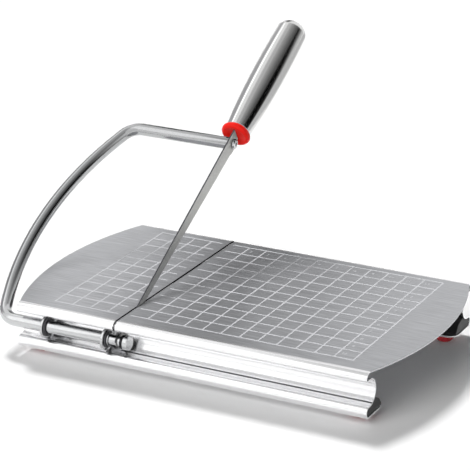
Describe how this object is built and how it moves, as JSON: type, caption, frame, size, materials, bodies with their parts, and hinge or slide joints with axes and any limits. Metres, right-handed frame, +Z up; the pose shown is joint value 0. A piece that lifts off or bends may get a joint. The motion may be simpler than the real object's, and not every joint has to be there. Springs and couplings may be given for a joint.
{
  "type": "lever cheese cutter",
  "caption": "Cheese cutter with a slotted board folded from steel sheet, and a blade on a bent rod arm that swings down on a hinge in the board's front rail.",
  "frame": {"origin": "centre of the board's top face, which is the cutting surface", "axes": "+X along the board, away from the arm, +Y from the hinge side to the back, +Z up"},
  "size_m": [0.2894, 0.2575, 0.1695],
  "materials": {
    "brushed_sheet": "stainless sheet brushed along its length",
    "blade_steel": "fine ground blade steel",
    "bright_steel": "polished steel",
    "satin_steel": "satin stainless tube",
    "dark_steel": "blackened spring steel",
    "black_plastic": "fine-grained black plastic",
    "grey_nylon": "smooth dark grey nylon",
    "red_silicone": "soft bright red silicone",
    "red_rubber": "translucent-looking dark red rubber"
  },
  "bodies": {
    "base": {"board": "brushed_sheet", "base_strip_front": "black_plastic", "base_strip_back": "black_plastic", "foot_front_left": "red_rubber", "foot_front_right": "red_rubber", "foot_back_left": "red_rubber", "foot_back_right": "red_rubber", "hinge_ear_left": "bright_steel", "hinge_ear_right": "bright_steel", "hinge_bush_left": "grey_nylon", "hinge_bush_right": "grey_nylon"},
    "arm": {"arm_rod": "bright_steel", "blade": "blade_steel", "blade_screw": "bright_steel", "thrust_washer": "bright_steel", "pivot_spacer": "bright_steel", "lock_washer": "dark_steel", "pivot_cap": "bright_steel", "collar_ring": "red_silicone", "handle_core": "black_plastic", "handle_shell": "satin_steel"}
  },
  "joints": [
    {"name": "arm_hinge", "type": "hinge", "parent": "base", "child": "arm", "pos_m": [-0.08, -0.0773, -0.0142], "axis": [1, 0, 0], "range_deg": [-23.3, 62]}
  ]
}
